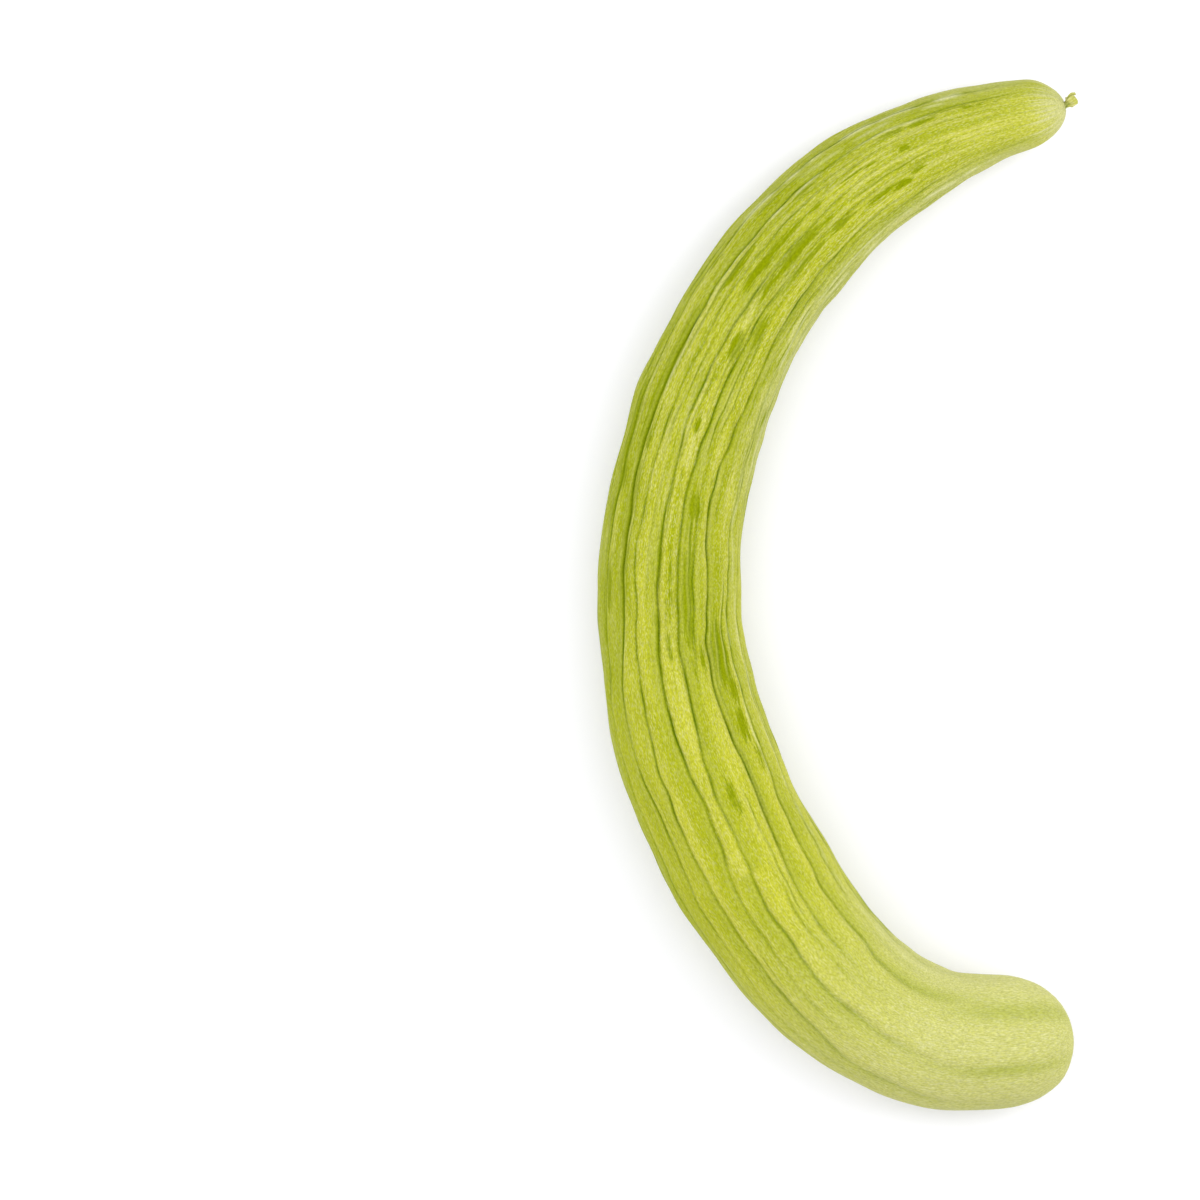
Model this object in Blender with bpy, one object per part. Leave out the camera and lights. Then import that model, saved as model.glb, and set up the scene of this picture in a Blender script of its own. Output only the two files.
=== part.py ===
"""A ribbed snake melon, the long pale-green fruit sold as a cucumber, lying as picked on a flat surface.

Metres, +Z up, with the origin under the middle of the whole thing, on the surface that it lies on. The fruit grew
as one piece and is one solid. Two small pieces stay on it: the stub of its stalk, in a shallow socket at the blunt
end, and the withered flower on the narrow end.
"""
import math
import random

import bmesh
import bpy
from mathutils import Matrix, Vector, noise

MM = 0.001

# The fruit's own line, from the flower end to the stalk end, all in millimetres and degrees: distance along,
# heading seen from above (0 is +X and 90 is +Y), half width, and height of the line above the surface.
STATIONS = (
    (0, -166, 10.6, 17.6),
    (14, -167.5, 12.0, 16.7),
    (40, -159.5, 16.2, 16.0),
    (60, -151, 18.5, 16.4),
    (78, -143, 19.9, 19.3),
    (116, -128.5, 22.0, 21.9),
    (154, -116, 23.2, 23.2),
    (193, -104.5, 23.7, 23.6),
    (232, -92.5, 25.3, 23.1),
    (251, -86, 25.5, 23.8),
    (289, -74, 27.0, 26.6),
    (328, -63.5, 27.6, 27.4),
    (348, -58, 27.6, 27.0),
    (386, -47, 26.3, 25.4),
    (405, -36, 25.6, 24.2),
    (424, -20, 24.9, 22.5),
    (442, -4, 24.3, 22.0),
    (450, 1, 23.9, 21.8),
    (458, 3, 23.1, 20.6),
    (466, 4, 21.8, 17.8),
    (477, 4, 21.0, 10.6),
)
LENGTH = STATIONS[-1][0]
SECTION_HEIGHT = 0.95  # height of the section over its width
TIP_CAP, TIP_ROUND = 14.0, 2.0  # length of the rounding at the flower end, and how square it is
END_CAP, END_ROUND = 19.0, 2.6  # the same at the stalk end

# Furrows that run from end to end, at even steps along the fruit from the flower end. Each has its angles round the
# fruit, in degrees from the top towards the outside of the bend, and its depths. The furrows of the underside are
# spread evenly from the last one back to the first.
FURROW_STEP = 40.0
FURROWS = (
    ((-60, -58, -57, -57, -56, -56, -54, -51.5, -51, -43.5, -38.5, -37, -36),
     (0, 0.1, 0.15, 0.2, 0.3, 0.3, 0.5, 0.7, 0.8, 1.1, 0.8, 0.3, 0)),
    ((-47, -47, -46, -46, -46, -44, -43, -40, -41, -33, -28, -25, -23),
     (0, 0.3, 0.3, 0.3, 0.15, 0, 0, 0, 0, 0, 0, 0, 0)),
    ((-34, -34, -35, -36, -38, -30.5, -32, -28, -32, -23, -18, -14, -12),
     (0, 0.1, 0.3, 0.6, 1, 1, 1.3, 1.3, 1.3, 0.9, 0.1, 0, 0)),
    ((-23, -23, -23, -23, -21, -19.5, -19, -14, -16, -13, -8, 0, 5),
     (0, 0, 0, 0.1, 0.1, 0.3, 0.7, 0.15, 0.1, 0.3, 0.15, 0, 0)),
    ((-12, -12, -13, -12, -12.5, -6.5, -6.5, -5, -2, 4.5, 8.5, 20, 26),
     (0, 0.1, 0.3, 0.3, 0.9, 1, 1, 1.2, 0.9, 1.1, 0.9, 0.4, 0)),
    ((0, 1, 3.5, 2, 6.5, 8, 9.5, 12.5, 10.5, 19.5, 26, 34, 38),
     (0, 0.1, 0.3, 0.4, 0.9, 0.6, 1.6, 1.5, 1, 0.5, 0.2, 0, 0)),
    ((20, 20, 21, 21.5, 22, 27.5, 29, 31, 33.5, 36.5, 44, 60, 68),
     (0, 0.1, 0.3, 0.4, 0.4, 0.5, 0.4, 0.6, 0.9, 1.1, 1.4, 0.7, 0)),
    ((36, 37, 39, 39, 40, 44, 41, 50, 48, 54, 62, 74, 80),
     (0.1, 0.5, 0.7, 0.9, 1.2, 1.2, 1.2, 0.6, 0.6, 0.3, 0.3, 0.2, 0)),
    ((58, 60, 63, 63, 62, 62, 63, 66, 67, 72, 80, 88, 94),
     (0, 0.4, 0.6, 0.5, 0.6, 0.6, 0.6, 0.6, 0.6, 0.6, 0.5, 0.3, 0)),
)
UNDERSIDE_FURROWS = 12
UNDERSIDE_JITTER = 3.0  # degrees
UNDERSIDE_DEPTHS = (0, 0.3, 0.5, 0.8, 1, 1.1, 1.1, 1.1, 1.1, 0.9, 0.6, 0.3, 0)
WANDER, WANDER_LENGTH = 0.9, 22.0  # how far a furrow strays, in degrees, and over what length
CREASE_WIDTH, SLOPE_WIDTH = 1.2, 3.4  # the sharp bottom of a furrow, and the fall of the ridge towards it
CREASE_SHARE = 0.5
LUMP_HEIGHT, LUMP_LENGTH = 0.55, 30.0  # low swellings of the whole skin

RIDGE_COLUMNS = (0.0, 0.22, 0.5, 0.78)  # where the lines of points lie on each ridge, from furrow to furrow
BODY_RINGS = 48
CAP_ANGLES = (14, 30, 46, 62, 76)  # rings over each rounded end

STALK_SEAT, STALK_SEAT_DEPTH = 4.6, 1.2
FLOWER_SEAT, FLOWER_SEAT_DEPTH = 1.8, 0.7
SEAT_GAP = 0.3

STALK_RADIUS, STALK_LENGTH, STALK_RIBS, STALK_SIDES = 4.1, 4.0, 5, 30
STALK_CUT_TILT = 18.0  # degrees

FLOWER_NECK, FLOWER_FOOT = 1.35, 0.5  # radius of its neck, and height of the foot that doesn't lean
FLOWER_TURN = 26.0  # degrees, how far the flower leans from the fruit's line towards +Y
PETAL_THICKNESS = 0.62
# Each withered petal: turn round the flower, lean away from its axis, length, width
PETALS = ((10, 8, 5.4, 2.4), (84, 13, 4.4, 2.2), (160, 18, 3.6, 2.1), (228, 11, 4.7, 2.4), (300, 22, 3.3, 2.1))


def clear_scene():
    for obj in list(bpy.data.objects):
        bpy.data.objects.remove(obj)


def smooth_between(rows, where):
    """The columns of rows, after the first, at a distance along, on a smooth curve through every row."""
    k = 0
    while k < len(rows) - 2 and where > rows[k + 1][0]:
        k += 1
    before, low, high, after = rows[max(k - 1, 0)], rows[k], rows[k + 1], rows[min(k + 2, len(rows) - 1)]
    span = high[0] - low[0]
    t = (where - low[0]) / span
    found = []
    for c in range(1, len(low)):
        rise = (high[c] - before[c]) / (high[0] - before[0]) * span
        fall = (after[c] - low[c]) / (after[0] - low[0]) * span
        found.append(
            low[c] * (1 + 2 * t) * (1 - t) ** 2
            + rise * t * (1 - t) ** 2
            + high[c] * t * t * (3 - 2 * t)
            - fall * t * t * (1 - t)
        )
    return found


class Line:
    """The fruit's own line, worked out once in short steps."""

    STEP = 0.5

    def __init__(self):
        self.points = [Vector((0, 0, 0))]
        count = round(LENGTH / self.STEP)
        for i in range(count):
            heading = math.radians(smooth_between(STATIONS, (i + 0.5) * self.STEP)[0])
            step = Vector((math.cos(heading), math.sin(heading), 0)) * self.STEP
            self.points.append(self.points[-1] + step)
        for i, point in enumerate(self.points):
            point.z = smooth_between(STATIONS, i * self.STEP)[2]

    def at(self, where):
        """Point, direction, outward side and upward side of the line at a distance along it."""
        i = min(int(where / self.STEP), len(self.points) - 2)
        low, high = self.points[i], self.points[i + 1]
        point = low.lerp(high, where / self.STEP - i)
        behind, ahead = self.points[max(i - 4, 0)], self.points[min(i + 5, len(self.points) - 1)]
        direction = (ahead - behind).normalized()
        outward = direction.cross(Vector((0, 0, 1))).normalized()
        return point, direction, outward, outward.cross(direction)


def rounding(where):
    """Share of the full width that the two rounded ends leave."""
    share = 1.0
    for reach, length, squareness in ((where, TIP_CAP, TIP_ROUND), (LENGTH - where, END_CAP, END_ROUND)):
        if reach < length:
            share *= math.sqrt(max(0.0, 1 - (1 - reach / length) ** squareness))
    return share


def half_width(where):
    full = smooth_between(STATIONS, where)[1]
    seat = FLOWER_SEAT if where < LENGTH / 2 else STALK_SEAT
    share = rounding(where)
    return math.sqrt(seat**2 * (1 - share**2) + (full * share) ** 2)


def furrows():
    """Angles and depths of each furrow at even steps along the fruit, in order round it."""
    random_turn = random.Random(7)
    last, first = FURROWS[-1][0], FURROWS[0][0]
    found = list(FURROWS)
    for k in range(1, UNDERSIDE_FURROWS + 1):
        share = k / (UNDERSIDE_FURROWS + 1)
        jitter = random_turn.uniform(-UNDERSIDE_JITTER, UNDERSIDE_JITTER)
        angles = [a + (b + 360 - a) * share + jitter for a, b in zip(last, first)]
        strength = random_turn.uniform(0.75, 1.2)
        found.append((angles, [depth * strength for depth in UNDERSIDE_DEPTHS]))
    return found


def furrow_at(furrow, number, where):
    """Angle and depth of a furrow at a distance along the fruit."""
    rows = [(i * FURROW_STEP, *pair) for i, pair in enumerate(zip(*furrow))]
    angle, depth = smooth_between(rows, where)
    stray = noise.noise(Vector((where / WANDER_LENGTH, number * 7.3, 2.1)))
    return angle + WANDER * 2 * stray, max(depth, 0.0)


def furrow_fall(away):
    """How far the skin falls at this distance from the bottom of a furrow, as a share of the furrow's depth."""
    crease = math.exp(-((away / CREASE_WIDTH) ** 1.4))
    slope = math.exp(-((away / SLOPE_WIDTH) ** 2))
    return CREASE_SHARE * crease + (1 - CREASE_SHARE) * slope


def lumps(where, angle, radius):
    """Low swellings, laid on the straightened fruit so that they have no seam."""
    place = Vector((where, radius * math.cos(angle), radius * math.sin(angle))) / LUMP_LENGTH
    return LUMP_HEIGHT * 2 * noise.noise(place + Vector((3.7, 9.1, 5.3)))


def ring_columns(grooves, where):
    """For each line of points: its angle in radians, and the (share of the way, depth) of the furrows beside it."""
    cuts = [furrow_at(groove, n, where) for n, groove in enumerate(grooves)]
    cuts.append((cuts[0][0] + 360, cuts[0][1]))
    found = []
    for (start, depth), (end, next_depth) in zip(cuts, cuts[1:]):
        across = math.radians(end - start)
        for column in RIDGE_COLUMNS:
            angle = math.radians(start) + across * column
            found.append((angle, (column * across, depth), ((1 - column) * across, next_depth)))
    return found


def ring(line, grooves, where):
    """The points round the fruit at a distance along, in metres."""
    point, _, outward, up = line.at(where)
    radius = half_width(where)
    swell = min(1.0, radius / 10) * rounding(where)
    found = []
    for angle, *sides in ring_columns(grooves, where):
        fall = sum(depth * furrow_fall(turn * radius) for turn, depth in sides)
        reach = radius - fall + swell * lumps(where, angle, radius)
        place = point + outward * (reach * math.sin(angle)) + up * (reach * SECTION_HEIGHT * math.cos(angle))
        found.append(Vector((place.x, place.y, max(place.z, 0.0))) * MM)
    return found


def seat_ring(line, grooves, where, radius):
    """A plain round ring on the same columns, for the floor of a socket."""
    point, _, outward, up = line.at(where)
    nearest_end = 0 if where < LENGTH / 2 else LENGTH
    found = []
    for angle, *_ in ring_columns(grooves, nearest_end):
        place = point + outward * (radius * math.sin(angle)) + up * (radius * math.cos(angle))
        found.append(place * MM)
    return found


def ring_places():
    """Distances of the rings: close together over the rounded ends, even between them."""
    tip = [TIP_CAP * (1 - math.cos(math.radians(a))) for a in CAP_ANGLES]
    end = [LENGTH - END_CAP * (1 - math.cos(math.radians(a))) for a in reversed(CAP_ANGLES)]
    step = (LENGTH - END_CAP - TIP_CAP) / (BODY_RINGS - 1)
    middle = [TIP_CAP + step * i for i in range(BODY_RINGS)]
    return [0.0] + tip + middle + end + [float(LENGTH)]


def new_object(name, mesh, material):
    mesh.materials.append(material)
    mesh.shade_smooth()
    mesh.set_sharp_from_angle(angle=math.radians(50))
    obj = bpy.data.objects.new(name, mesh)
    bpy.context.scene.collection.objects.link(obj)
    return obj


def mesh_of_rings(name, rings, first_centre, last_centre):
    """A closed skin over rings of equally many points, with a fan of faces at each end."""
    bm = bmesh.new()
    rows = [[bm.verts.new(p) for p in row] for row in rings]
    for row, next_row in zip(rows, rows[1:]):
        for i in range(len(row)):
            j = (i + 1) % len(row)
            bm.faces.new((row[i], row[j], next_row[j], next_row[i]))
    for row, centre in ((rows[0][::-1], first_centre), (rows[-1], last_centre)):
        middle = bm.verts.new(centre)
        for i in range(len(row)):
            bm.faces.new((row[i], row[(i + 1) % len(row)], middle))
    bmesh.ops.triangulate(bm, faces=bm.faces[:])
    bmesh.ops.recalc_face_normals(bm, faces=bm.faces[:])
    mesh = bpy.data.meshes.new(name)
    bm.to_mesh(mesh)
    bm.free()
    return mesh


def make_fruit(line, material):
    grooves = furrows()
    body = [ring(line, grooves, where) for where in ring_places()]
    flower_floor = seat_ring(line, grooves, FLOWER_SEAT_DEPTH, FLOWER_SEAT)
    stalk_floor = seat_ring(line, grooves, LENGTH - STALK_SEAT_DEPTH, STALK_SEAT)
    rings = [flower_floor] + body + [stalk_floor]
    centres = (line.at(FLOWER_SEAT_DEPTH)[0] * MM, line.at(LENGTH - STALK_SEAT_DEPTH)[0] * MM)
    return new_object("fruit", mesh_of_rings("fruit", rings, *centres), material)


def frame_at(point, direction):
    """A matrix whose +Z runs along a direction from a point given in millimetres."""
    return Matrix.Translation(point * MM) @ direction.to_track_quat("Z", "Y").to_matrix().to_4x4()


def make_stalk(line, material):
    """The five-ribbed stub that is left of the stalk, flared at its foot and cut a little askew."""
    profile = ((0.0, 1.0), (0.8, 0.98), (1.6, 0.86), (2.4, 0.78), (3.2, 0.76), (STALK_LENGTH, 0.78))
    tilt = math.tan(math.radians(STALK_CUT_TILT))
    rings = []
    for height, share in profile:
        row = []
        for i in range(STALK_SIDES):
            turn = 2 * math.pi * i / STALK_SIDES
            rib = 1 + 0.09 * min(1.0, height) * math.cos(STALK_RIBS * turn)
            radius = (STALK_RADIUS - SEAT_GAP / 4) * share * rib
            skew = tilt * radius * math.cos(turn) * height / STALK_LENGTH
            row.append(Vector((radius * math.cos(turn), radius * math.sin(turn), height + skew)) * MM)
        rings.append(row)
    mesh = mesh_of_rings("stalk_stub", rings, Vector((0, 0, 0)), Vector((0, 0, STALK_LENGTH)) * MM)
    obj = new_object("stalk_stub", mesh, material)
    point, direction, _, _ = line.at(LENGTH - STALK_SEAT_DEPTH)
    obj.matrix_world = frame_at(point + direction * SEAT_GAP, direction)
    return obj


def make_neck(bend):
    """The short round neck that the petals stand on: its foot is square to the fruit and the rest leans."""
    sides = 16
    profile = ((0.0, 1.0), (0.5, 0.9), (1.1, 0.82), (1.8, 0.92), (2.4, 0.6))
    rings = []
    for height, share in profile:
        radius = FLOWER_NECK * share
        turns = [2 * math.pi * i / sides for i in range(sides)]
        row = [Vector((radius * math.cos(t), radius * math.sin(t), height)) * MM for t in turns]
        rings.append([bend @ p for p in row] if height > FLOWER_FOOT else row)
    return mesh_of_rings("dried_flower", rings, Vector((0, 0, 0)), bend @ (Vector((0, 0, 2.4)) * MM))


def make_petal(lean, length, width):
    """One withered petal: a thin pointed blade that bends back over its length and is folded along its rib."""
    steps = 6
    bm = bmesh.new()
    point = Vector((0.35, 0, 0.9))
    rows = []
    for i in range(steps + 1):
        t = i / steps
        bend = math.radians(lean * (1.5 - 1.3 * t))
        along = Vector((math.sin(bend), 0, math.cos(bend)))
        face = Vector((math.cos(bend), 0, -math.sin(bend)))
        half = width / 2 * (0.45 + 1.5 * t - 1.83 * t * t)
        thick = PETAL_THICKNESS / 2 * (1 - 0.25 * t)
        fold = 0.55 * half
        row = []
        for side, depth in ((-1, -1), (0, -1), (1, -1), (1, 1), (0, 1), (-1, 1)):
            out = thick * depth + fold * abs(side)
            row.append(bm.verts.new((point + face * out + Vector((0, side * half, 0))) * MM))
        rows.append(row)
        point = point + along * (length / steps)
    for row, next_row in zip(rows, rows[1:]):
        for i in range(6):
            j = (i + 1) % 6
            bm.faces.new((row[i], row[j], next_row[j], next_row[i]))
    for row in (rows[0][::-1], rows[-1]):
        bm.faces.new((row[0], row[1], row[4], row[5]))
        bm.faces.new((row[1], row[2], row[3], row[4]))
    bmesh.ops.triangulate(bm, faces=bm.faces[:])
    bmesh.ops.recalc_face_normals(bm, faces=bm.faces[:])
    mesh = bpy.data.meshes.new("petal")
    bm.to_mesh(mesh)
    bm.free()
    return mesh


def make_flower(line, material):
    """The withered flower: its neck and petals, joined into one body."""
    point, direction, _, _ = line.at(FLOWER_SEAT_DEPTH)
    place = frame_at(point - direction * SEAT_GAP, -direction)
    upright = place.to_3x3().inverted() @ Vector((0, 0, 1))
    foot = Matrix.Translation(Vector((0, 0, FLOWER_FOOT)) * MM)
    bend = foot @ Matrix.Rotation(math.radians(FLOWER_TURN), 4, upright) @ foot.inverted()
    petals = bpy.data.collections.new("petals")
    bpy.context.scene.collection.children.link(petals)
    for turn, lean, length, width in PETALS:
        blade = bpy.data.objects.new("petal", make_petal(lean, length, width))
        blade.matrix_world = bend @ Matrix.Rotation(math.radians(turn), 4, "Z")
        petals.objects.link(blade)
    flower = new_object("dried_flower", make_neck(bend), material)
    join = flower.modifiers.new("join", "BOOLEAN")
    join.operation = "UNION"
    join.operand_type = "COLLECTION"
    join.collection = petals
    join.solver = "EXACT"
    with bpy.context.temp_override(object=flower, active_object=flower):
        bpy.ops.object.modifier_apply(modifier=join.name)
    for blade in list(petals.objects):
        bpy.data.objects.remove(blade)
    bpy.data.collections.remove(petals)
    flower.matrix_world = place
    return flower


def skin_material(name, colour, roughness):
    material = bpy.data.materials.new(name)
    material.use_nodes = True
    shader = material.node_tree.nodes["Principled BSDF"]
    shader.inputs["Base Color"].default_value = (*colour, 1.0)
    shader.inputs["Roughness"].default_value = roughness
    shader.inputs["Metallic"].default_value = 0.0
    return material


def centre_on_origin(pieces):
    """Parents the pieces to an empty that puts the middle of their common box over the origin."""
    bpy.context.view_layer.update()
    corners = [obj.matrix_world @ v.co for obj in pieces for v in obj.data.vertices]
    middle = Vector([(min(c[i] for c in corners) + max(c[i] for c in corners)) / 2 for i in (0, 1)] + [0])
    centre = bpy.data.objects.new("cucumber", None)
    bpy.context.scene.collection.objects.link(centre)
    centre.location = -middle
    for obj in pieces:
        obj.parent = centre


def main():
    clear_scene()
    line = Line()
    skin = skin_material("skin", (0.48, 0.52, 0.06), 0.55)
    stalk = skin_material("stalk", (0.42, 0.44, 0.12), 0.7)
    petal = skin_material("petal", (0.62, 0.60, 0.20), 0.8)
    centre_on_origin([make_fruit(line, skin), make_stalk(line, stalk), make_flower(line, petal)])


main()
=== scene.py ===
"""The look of the snake melon: ribbed and blotched downy skin, a withered flower, and the stub of its stalk.

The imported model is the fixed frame. The fruit's driving sizes are those of its source, in millimetres and
degrees, with some furrows slightly shallower where they look faint. Everything is made in metres in the
frame's own place.
"""

import math
import random

import bmesh
import bpy
import numpy as np
from mathutils import Matrix, Vector, noise

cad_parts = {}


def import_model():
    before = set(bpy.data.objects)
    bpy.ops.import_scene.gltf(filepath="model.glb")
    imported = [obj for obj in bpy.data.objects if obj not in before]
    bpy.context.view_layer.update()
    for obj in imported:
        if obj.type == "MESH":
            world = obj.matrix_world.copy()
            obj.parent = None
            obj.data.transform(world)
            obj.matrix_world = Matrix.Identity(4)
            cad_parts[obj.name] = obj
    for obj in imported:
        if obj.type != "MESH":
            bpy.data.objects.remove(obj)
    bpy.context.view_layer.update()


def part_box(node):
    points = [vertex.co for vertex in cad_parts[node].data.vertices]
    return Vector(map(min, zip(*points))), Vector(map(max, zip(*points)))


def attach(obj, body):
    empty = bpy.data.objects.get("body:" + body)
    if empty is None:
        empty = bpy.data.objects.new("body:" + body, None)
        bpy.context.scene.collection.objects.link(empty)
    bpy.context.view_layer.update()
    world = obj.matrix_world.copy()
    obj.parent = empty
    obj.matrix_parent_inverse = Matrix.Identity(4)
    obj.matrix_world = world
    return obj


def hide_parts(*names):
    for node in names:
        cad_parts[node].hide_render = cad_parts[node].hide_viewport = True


MM = 0.001

# Distance along the fruit from the flower end, heading seen from above, half width, height of the line
STATIONS = (
    (0, -166, 10.6, 17.6),
    (14, -167.5, 12.0, 16.7),
    (40, -159.5, 16.2, 16.0),
    (60, -151, 18.5, 16.4),
    (78, -143, 19.9, 19.3),
    (116, -128.5, 22.0, 21.9),
    (154, -116, 23.2, 23.2),
    (193, -104.5, 23.7, 23.6),
    (232, -92.5, 25.3, 23.1),
    (251, -86, 25.5, 23.8),
    (289, -74, 27.0, 26.6),
    (328, -63.5, 27.6, 27.4),
    (348, -58, 27.6, 27.0),
    (386, -47, 26.3, 25.4),
    (405, -36, 25.6, 24.2),
    (424, -20, 24.9, 22.5),
    (442, -4, 24.3, 22.0),
    (450, 1, 23.9, 21.8),
    (458, 3, 23.1, 20.6),
    (466, 4, 21.8, 17.8),
    (477, 4, 21.0, 10.6),
)
LENGTH = STATIONS[-1][0]
SECTION_HEIGHT = 0.95
TIP_CAP, TIP_ROUND = 14.0, 2.0
END_CAP, END_ROUND = 19.0, 2.6

# Angles and depths of each furrow at even steps along the fruit
FURROW_STEP = 40.0
FURROWS = (
    ((-60, -58, -57, -57, -56, -56, -54, -51.5, -51, -43.5, -38.5, -37, -36),
     (0, 0.1, 0.15, 0.2, 0.3, 0.3, 0.5, 0.7, 0.8, 1.1, 0.7, 0.1, 0)),
    ((-47, -47, -46, -46, -46, -44, -43, -40, -41, -33, -28, -25, -23),
     (0, 0.3, 0.3, 0.3, 0.15, 0, 0, 0, 0, 0, 0, 0, 0)),
    ((-34, -34, -35, -36, -38, -30.5, -32, -28, -32, -23, -18, -14, -12),
     (0, 0.1, 0.3, 0.6, 1, 1, 1.3, 1.3, 1.3, 0.9, 0.1, 0, 0)),
    ((-23, -23, -23, -23, -21, -19.5, -19, -14, -16, -13, -8, 0, 5),
     (0, 0, 0, 0.1, 0.1, 0.3, 0.7, 0.15, 0.1, 0.3, 0.15, 0, 0)),
    ((-12, -12, -13, -12, -12.5, -6.5, -6.5, -5, -2, 4.5, 8.5, 20, 26),
     (0, 0.1, 0.3, 0.3, 0.9, 1, 1, 1.2, 0.9, 1.1, 0.9, 0.4, 0)),
    ((0, 1, 3.5, 2, 6.5, 8, 9.5, 12.5, 10.5, 19.5, 26, 34, 38),
     (0, 0.1, 0.3, 0.4, 0.9, 0.6, 1.6, 1.5, 1, 0.5, 0.2, 0, 0)),
    ((20, 20, 21, 21.5, 22, 27.5, 29, 31, 33.5, 36.5, 44, 60, 68),
     (0, 0.1, 0.3, 0.4, 0.4, 0.5, 0.4, 0.6, 0.9, 1.1, 1.2, 0.5, 0)),
    ((36, 37, 39, 39, 40, 44, 41, 50, 48, 54, 62, 74, 80),
     (0.1, 0.4, 0.5, 0.8, 1.2, 1.2, 1.2, 0.6, 0.6, 0.3, 0.3, 0.2, 0)),
    ((58, 60, 63, 63, 62, 62, 63, 66, 67, 72, 80, 88, 94),
     (0, 0.4, 0.6, 0.5, 0.6, 0.6, 0.45, 0.3, 0.35, 0.6, 0.5, 0.3, 0)),
)
UNDERSIDE_FURROWS = 12
UNDERSIDE_JITTER = 3.0  # degrees
UNDERSIDE_DEPTHS = (0, 0.3, 0.5, 0.8, 1, 1.1, 1.1, 1.1, 1.1, 0.9, 0.6, 0.3, 0)
UNDERSIDE_STRENGTHS = (0.75, 1.2)  # lowest and highest share of these depths
UNDERSIDE_EDGE_SHARE = 0.4  # what the two furrows next to the upper side keep of theirs
WANDER, WANDER_LENGTH = 0.9, 22.0  # how far a furrow strays, in degrees, and over what length
FINE_WANDER, FINE_WANDER_LENGTH = 0.85, 9.0
DEPTH_CHANGE, DEPTH_CHANGE_LENGTH = 0.3, 16.0  # share of its depth, and over what length
SLOPE_WIDTH = 3.4
SLOPE_SKEW = 0.35  # how much wider a furrow falls on its side away from the top, and narrower on the other

# The sharp bottom of a furrow: distance along, width, its share of the depth, how dark it is (the skin's own
# deep green, partly painted shade)
CREASES = (
    (0, 0.6, 0.25, 0.7),
    (60, 0.45, 0.4, 1.0),
    (100, 0.45, 0.4, 0.95),
    (280, 0.48, 0.4, 1.0),
    (330, 0.6, 0.3, 0.8),
    (380, 0.75, 0.2, 0.55),
    (430, 1.6, 0.05, 0.15),
    (LENGTH, 2.2, 0.0, 0.0),
)
CREASE_POWER = 1.4  # how squarely a crease drops
LIP_PLACE, LIP_WIDTH, LIP_HEIGHT = 1.4, 0.6, 0.1  # the slightly raised edge beside a crease
FURROW_LIP_HIGHLIGHT = 0.4  # how strongly that edge is painted pale as a highlight, as a share of a full lip
LUMPS = ((0.55, 30, 30), (0.22, 11, 7))  # height, length along and width across of the soft lumps
FULL_RELIEF_RADIUS = 10.0  # lumps, wrinkles and crests are lower where the fruit is thinner than this

# Fine lengthwise wrinkles, strongest on the narrow half: distance along, height
WRINKLES = ((0, 0.0), (20, 0.03), (60, 0.14), (110, 0.22), (230, 0.2), (300, 0.1), (420, 0.03), (LENGTH, 0.0))
WRINKLE_ACROSS, WRINKLE_ALONG = 3.2, 42.0

# Thin raised crests, painted pale as a highlight: distance and angle where each starts and ends, strength,
# width
CRESTS = (
    (24, -62, 82, -61, 0.9, 0.7),
    (76, -57.5, 172, -58.5, 0.8, 0.5),
    (80, -69, 126, -67, 0.9, 0.6),
    (18, 57, 122, 62, 1.0, 1.2),
    (118, -69, 200, -70, 0.8, 0.7),
    (42, 36.5, 122, 37.5, 0.75, 0.55),
    (112, 37.5, 180, 38.5, 0.5, 0.5),
    (30, 46, 96, 49, 0.5, 0.7),
    (96, -50, 150, -53, 0.5, 0.5),
    (125, -75, 190, -77, 0.7, 0.8),
    (190, -57, 245, -62, 0.5, 0.7),
    (246, -51, 318, -49.5, 0.6, 0.45),
    (235, -66, 350, -66, 0.6, 0.7),
    (340, -64, 430, -62, 0.4, 0.7),
)
CREST_HEIGHT = 0.25
CREST_WANDER, CREST_WANDER_LENGTH = 1.8, 14.0  # degrees, and over what length
CREST_FADE, CREST_GAP_LENGTH = 12.0, 7.0  # how long its two ends fade, and how far apart its gaps are

# Fine grooves between the furrows, each with a painted highlight on the lip beside it, drawn with a fixed
# seed
GROOVES = 120
GROOVE_WIDTH, GROOVE_DEPTH = 0.32, 0.14
GROOVE_LIP_PLACE, GROOVE_LIP_WIDTH = 0.65, 0.4
GROOVE_WANDER, GROOVE_WANDER_LENGTH = 1.3, 24.0  # degrees, and over what length

# Lowest, highest and likeliest place of a groove's middle, its half length and its strength
GROOVE_MIDDLES, GROOVE_REACHES, GROOVE_STRENGTHS = (30, 400, 90), (8, 40, 10), (0.2, 1.0, 0.35)

# Streaks and wrinkles keep their share of the way round, as on a fruit that is this wide everywhere
FIBRE_RADIUS = 22.0

TOP_COLUMNS, UNDERSIDE_COLUMNS = 19, 11  # lines of points on each ridge
COLUMN_CROWDING = 0.6  # how much closer the lines of points lie beside a furrow
BODY_RINGS = 286
CAP_RINGS = 16
MAP_MARGIN = 0.004  # left free round the flat map, as a share of its side

# Radius and depth of the sockets for the stalk and the flower, and how high above their floors both begin
STALK_SEAT, STALK_SEAT_DEPTH = 4.6, 1.2
FLOWER_SEAT, FLOWER_SEAT_DEPTH = 1.8, 0.7
FOOT_RISE = 0.3

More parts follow.
